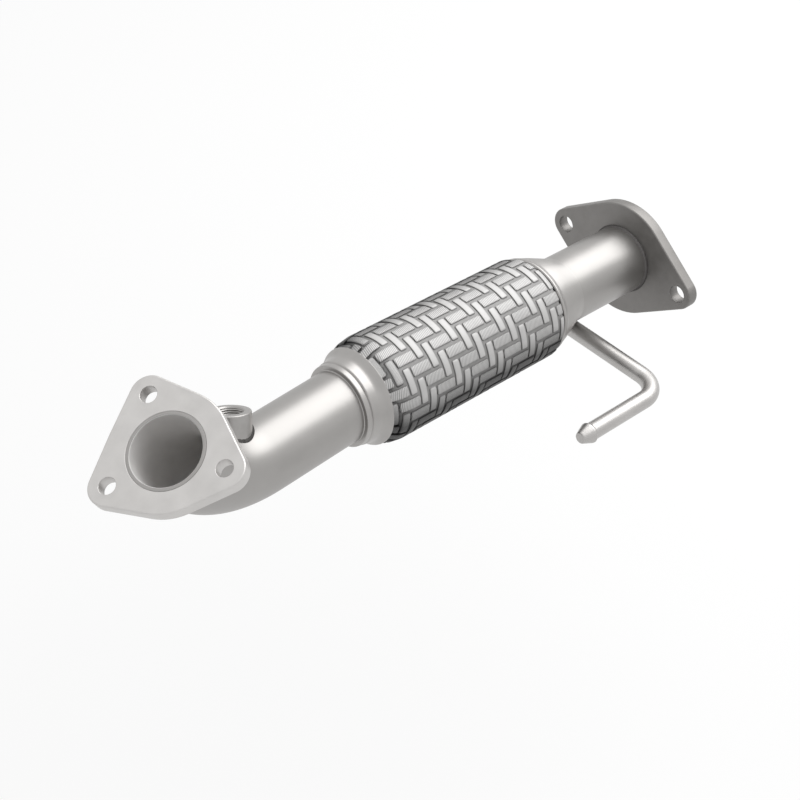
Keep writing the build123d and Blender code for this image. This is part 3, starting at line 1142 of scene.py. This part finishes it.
        # Depth below the ribbon's crest, which its material darkens as painted shade.
        deepened = node(tree, "GeometryNodeStoreNamedAttribute", {
            "Geometry": charted, "Name": "depth", "Value": calc(tree, "MULTIPLY", below, -1.0),
        }, data_type="FLOAT", domain="POINT")
        moved = node(tree, "GeometryNodeSetPosition", {"Geometry": deepened, "Position": spot})
        closed = node(tree, "GeometryNodeMergeByDistance", {"Geometry": moved, "Distance": 1e-6})
        if self.run is RibbonRun.AXIAL:
            closed = node(tree, "GeometryNodeFlipFaces", {"Mesh": closed})
        return node(tree, "GeometryNodeSetShadeSmooth", {"Geometry": closed})

    def _shape(self, curve: Node) -> None:
        """Sets the curve that gives the sleeve's radius along its length, as a share of the full one.

        Args:
            curve: The curve's node.
        """
        line = curve.mapping.curves[0]
        points = [((x - self.begin) / (self.end - self.begin), r / self.full_r) for x, r in self.profile]
        line.points[0].location, line.points[1].location = points[0], points[-1]
        for point in points[1:-1]:
            line.points.new(*point)
        for point in line.points:
            point.handle_type = "VECTOR"
        curve.mapping.update()

    def build(self, material: bpy.types.Material) -> Piece:
        """Builds the family's node tree, whose sizes are named inputs, and the ribbons that it makes.

        Args:
            material: The ribbons' material.

        Returns:
            A plain mesh object.
        """
        tree = bpy.data.node_groups.new(self.name, "GeometryNodeTree")
        tree.interface.new_socket("Geometry", in_out="OUTPUT", socket_type="NodeSocketGeometry")
        inputs = {
            "Count": ("Int", self.count), "Samples": ("Int", self.samples), "Width": ("Float", self.width),
            "Thickness": ("Float", self.thickness), "Lift": ("Float", self.lift),
            "Pitch": ("Float", self.pitch), "First ring": ("Float", self.first_ring),
            "Finish": ("Material", material),
        }
        values = {}
        for label, (kind, value) in inputs.items():
            made = tree.interface.new_socket(label, in_out="INPUT", socket_type=f"NodeSocket{kind}")
            values[made.identifier] = value
        given = node(tree, "NodeGroupInput").outputs
        placed = self._place(tree, given, self._ribbon(tree, given))
        dressed = node(tree, "GeometryNodeSetMaterial", {"Geometry": placed, "Material": given["Finish"]})
        node(tree, "NodeGroupOutput", {"Geometry": dressed})
        holder = linked(self.name, bpy.data.meshes.new(self.name))
        weave = holder.modifiers.new("weave", "NODES")
        weave.node_group = tree
        for identifier, value in values.items():
            weave[identifier] = value
        return baked(holder)


@dataclass
class FlexSection(Assembly):
    """The flex section: two collars, the woven sleeve between them and what is sealed inside."""

    inlet_x: float = -292.3
    outlet_lip_x: float = -111.1
    bead_r: float = 1.6
    cone_length: float = 30.6
    floor_wall: float = 0.7

    def inlet_collar(self) -> Outline:
        """Outline of the inlet collar: face, ring, groove, bell and lip.

        Returns:
            The closed outline, in x and radius.
        """
        x = self.inlet_x
        return rounded([
            (x, TUBE_R + 0.1, 0.2), (x, 28.9, 0.7), (x + 3.6, 29.3, 0.5), (x + 4.1, 28.5, 0.35),
            (x + 4.9, 29.8, 0.7), (x + 12.6, 30.9, 3.5), (x + 16.6, 34.6, 0.7),
            (x + 17.3, 34.9, 0.4), (x + 17.6, 34.5, 0.4), (x + 17.3, 33.7, 0.3),
            (x + 12.8, 29.5, 1.0), (x + 4.0, TUBE_R + 0.1, 1.0),
        ])

    def outlet_collar(self) -> Outline:
        """Outline of the outlet collar: rolled bead, bell and cone.

        Returns:
            The closed outline, in x and radius.
        """
        lip, r, end = self.outlet_lip_x, self.bead_r, self.outlet_lip_x + self.cone_length
        centre_x, centre_r = lip + r, 36.4 - r
        roll = [
            (centre_x + r * math.cos(math.radians(a)), centre_r + r * math.sin(math.radians(a)))
            for a in range(240, 74, -15)
        ]
        cone = rounded([
            (lip + 2.7, 35.95, 0.2), (lip + 5.1, 35.2, 2.0), (lip + 11.8, 33.0, 3.0), (lip + 19.0, 30.2, 3.0),
            (lip + 26.0, 27.4, 3.0), (end, 25.8, 0.1), (end, TUBE_R + 0.1, 0.1),
            (lip + 26.0, TUBE_R + 0.1, 1.0), (lip + 4.0, 32.5, 1.0),
        ])
        return roll + cone

    def sleeve_floor(self) -> Outline:
        """Outline of the inner mesh that shows between the ribbons."""
        outside = [(-275.5, 30.4), (-270.6, 32.2), (-268.4, 35.0), (-260.0, 37.2), (-114.3, 37.2),
                   (-112.4, 34.0), (-110.3, 30.5)]
        return outside + [(x, r - self.floor_wall) for x, r in reversed(outside)]

    def build(self) -> None:
        """Builds and dresses the pieces."""
        bell = turned("inlet_collar_spun", self.inlet_collar())
        self.dress(bell, Finish.SPUN_COLLAR, "collar_stainless", ["flex_inlet_collar"])
        bell_x, end = self.outlet_lip_x + 4.6, self.outlet_lip_x + self.cone_length
        cone = softened(turned("outlet_collar_spun", self.outlet_collar()), bell_x, end + 0.5, TUBE_R + 0.15)
        self.dress(cone, Finish.SPUN_COLLAR, "collar_stainless", ["flex_outlet_collar"])
        self.dress(turned("sleeve_floor", self.sleeve_floor()), Finish.INNER_MESH, "braid_stainless")
        families = (
            (Finish.LAID_RIBBON, RibbonFamily(
                "sleeve_axial_ribbons", RibbonRun.AXIAL, count=24, width=7.35, samples=170,
                crossing=-0.12, lag=-1.5,
            )),
            (Finish.HOOP_RIBBON, RibbonFamily(
                "sleeve_hoop_ribbons", RibbonRun.HOOP, count=21, width=5.45, samples=193,
                crossing=0.04, lag=0.5,
            )),
        )
        for finish, family in families:
            woven = family.build(self.wardrobe.get(finish))
            self.dress(woven, finish, "braid_stainless", ["flex_braid"])
        bead = WeldBead("inlet_collar_bead", leg=0.5, height=0.6, ripples=0).build(slide(self.inlet_x))
        self.dress(bead, Finish.SPUN_COLLAR, "weld_metal", ["inlet_collar_weld"])
        bead = WeldBead("outlet_collar_bead", leg=1.6, height=0.42, ripples=0).build(slide(end), toe=-1.0)
        bead = softened(bead, end - 0.5, end + 2.5, TUBE_R - 0.1)
        self.dress(bead, Finish.SPUN_COLLAR, "weld_metal", ["outlet_collar_weld"])
        for name in ("flex_liner", "flex_bellows", "flex_support_rings"):
            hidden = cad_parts[name].data.materials
            hidden.clear()
            hidden.append(self.wardrobe.get(Finish.SPUN_COLLAR))


@dataclass
class HangerRod(Assembly):
    """The bent bar under the outlet pipe, with its barbed tip and the weld beads beside it."""

    radius: float = 6.35
    x: float = -67.5
    z: float = -31.75
    reach_y: float = -97.9
    tip_x: float = -155.4
    bend_r: float = 20.0
    start_y: float = 14.0

    def rings(self) -> list[Ring]:
        """Rings of the bar from its square end to the barbed tip.

        Returns:
            The rings, in order, the first and the last of them closed to a point.
        """
        start = Matrix(((0, 0, -1, self.x), (1, 0, 0, self.start_y), (0, -1, 0, self.z), (0, 0, 0, 1)))
        leg = self.start_y - self.reach_y - self.bend_r
        end_run = self.x - self.bend_r - self.tip_x
        route = Route(start, (Bend(leg, 0.0, self.bend_r, 90.0),), end_run)
        r, tip = self.radius, route.end()
        head = ((0.0, 0.0), (0.0, r - 0.8), (-0.25, r - 0.25), (-0.8, r))
        barb = ((11.4, r), (11.1, r + 0.05), (9.9, 7.25), (9.5, 7.45), (9.0, 7.42), (8.6, 7.3), (0.9, 4.35),
                (0.4, 4.1), (0.1, 3.75), (0.0, 3.3), (0.0, 0.0))
        found = [Ring(start @ slide(x), radius) for x, radius in head]
        found += [Ring(place, r) for place in route.frames(3.0)[1:-1]]
        return found + [Ring(tip @ slide(x), radius) for x, radius in barb]

    def bead(self) -> Piece:
        """Makes the two beads in the notches between the bar and the pipe.

        Returns:
            The beads, as one object.
        """
        bm, length, last = bmesh.new(), 20.0, 32
        for side in (-1, 1):
            rows = []
            for k in range(last + 1):
                y = length / 2 - length * k / last
                swell = 0.22 * abs(math.sin(math.pi * k / 2.5)) + (0.0 if 1 < k < last - 1 else -0.6)
                out = 6.9 + swell
                low = self.z + 3.2 - 0.3 * swell
                high = -math.sqrt(TUBE_R ** 2 - y ** 2) + 0.3
                loop = [(out - 2.4, low), (out + 0.9, low + 1.2), (out + 2.6, low + 2.6), (out + 3.1, high),
                        (1.6, high), (1.6, low + 2.2)]
                rows.append([bm.verts.new((self.x + side * dx, y, z)) for dx, z in loop])
            strip(bm, rows, closed=False)
            bm.faces.new(rows[0])
            bm.faces.new(rows[-1])
        return finished("hanger_rod_beads", bm, 60.0)

    def build(self) -> None:
        """Builds and dresses the pieces."""
        bar = skin("hanger_bar", self.rings(), sides=96, closed=False)
        self.dress(bar, Finish.BRIGHT_BAR, "rod_steel", ["hanger_rod"])
        self.dress(self.bead(), Finish.SHADED_WELD_BEAD, "weld_metal", ["hanger_rod_weld"])


@dataclass
class Studio:
    """Pale floor, one soft lamp overhead, a pale surround and the camera. Lengths here are in metres."""

    photo_px: int = 800
    focal_px: float = 1700.3
    sensor_mm: float = 36.0
    floor_z: float = -0.30
    floor_half: float = 9.0
    lamp_power: float = 34.5
    lamp_size: tuple[float, float] = (2.3, 1.9)
    lamp_spot: tuple[float, float, float] = (1.05, -0.05, 1.35)
    fill: float = 0.36

    def camera(self) -> None:
        """Creates the camera, at the photograph's view of the pipe."""
        data = bpy.data.cameras.new("camera")
        data.sensor_width, data.clip_start = self.sensor_mm, 0.02
        data.lens = self.focal_px / self.photo_px * self.sensor_mm
        made = linked("camera", data)
        right, down, ahead = (0.7227, -0.6842, 0.0978), (-0.389, -0.5196, -0.7607), (0.5713, 0.5118, -0.6416)
        spot = (-0.8949, -0.5927, 0.7187)
        rows = [(right[i], -down[i], -ahead[i], spot[i]) for i in range(3)]
        made.matrix_world = Matrix(rows + [(0.0, 0.0, 0.0, 1.0)])
        bpy.context.scene.camera = made

    def hang(self) -> None:
        """Hangs the soft lamp over the pipe and past its outlet end."""
        data = bpy.data.lights.new("overhead_softbox", "AREA")
        data.shape, data.energy = "RECTANGLE", self.lamp_power
        data.size, data.size_y = self.lamp_size
        linked("overhead_softbox", data).location = self.lamp_spot

    def seen(self, tree: Tree) -> Node:
        """Adds a mask that is one for camera, glossy and transmission rays.

        Args:
            tree: The tree of a material or a world.

        Returns:
            The node whose output is the mask.
        """
        path = node(tree, "ShaderNodeLightPath").outputs
        two = calc(tree, "MAXIMUM", path["Is Camera Ray"], path["Is Glossy Ray"])
        return calc(tree, "MAXIMUM", two, path["Is Transmission Ray"])

    def surround(self) -> None:
        """Makes the world: white where it is seen, and a soft fill for the rest."""
        world = bpy.data.worlds.new("studio")
        bpy.context.scene.world = world
        tree = emptied(world)
        strength = ranged(tree, self.seen(tree), (0.0, 1.0), (self.fill, 1.0))
        sky = node(tree, "ShaderNodeBackground", {"Color": (1.0, 1.0, 1.0, 1.0), "Strength": strength})
        node(tree, "ShaderNodeOutputWorld", {"Surface": sky})

    def floor(self) -> None:
        """Lays the floor, which is lit by the lamp and lifted to white where it is seen."""
        bm = bmesh.new()
        bmesh.ops.create_grid(bm, x_segments=8, y_segments=8, size=self.floor_half / MM)
        bmesh.ops.translate(bm, verts=bm.verts, vec=(-240.0, 0.0, self.floor_z / MM))
        made = finished("floor", bm)
        paper = bpy.data.materials.new("pale_paper")
        tree = emptied(paper)
        matt = node(tree, "ShaderNodeBsdfDiffuse", {"Color": linear("E2E2E2")})
        faint = node(tree, "ShaderNodeBsdfDiffuse", {"Color": linear("707070")})
        glow = node(tree, "ShaderNodeEmission", {"Color": (1.0, 1.0, 1.0, 1.0), "Strength": 0.84})
        lifted = node(tree, "ShaderNodeAddShader", {0: faint, 1: glow})
        shown = node(tree, "ShaderNodeMixShader", {0: self.seen(tree), 1: matt, 2: lifted})
        node(tree, "ShaderNodeOutputMaterial", {"Surface": shown})
        made.data.materials.append(paper)

    def build(self) -> None:
        """Builds the whole studio."""
        self.camera()
        self.hang()
        self.surround()
        self.floor()
        bpy.context.scene.view_settings.view_transform = "Standard"


def main() -> None:
    """Builds the studio and the pipe's sub-assemblies, in order."""
    logging.basicConfig(level=logging.INFO, format="%(name)s %(message)s", stream=sys.stdout)
    Studio().build()
    wardrobe = Wardrobe()
    pipe, bung = InletPipe(wardrobe), SensorBung(wardrobe)
    pipe.build(bung)
    bung.build(pipe)
    for assembly in (FlexSection(wardrobe), OutletPipe(wardrobe), HangerRod(wardrobe)):
        assembly.build()


if __name__ == "__main__":
    main()
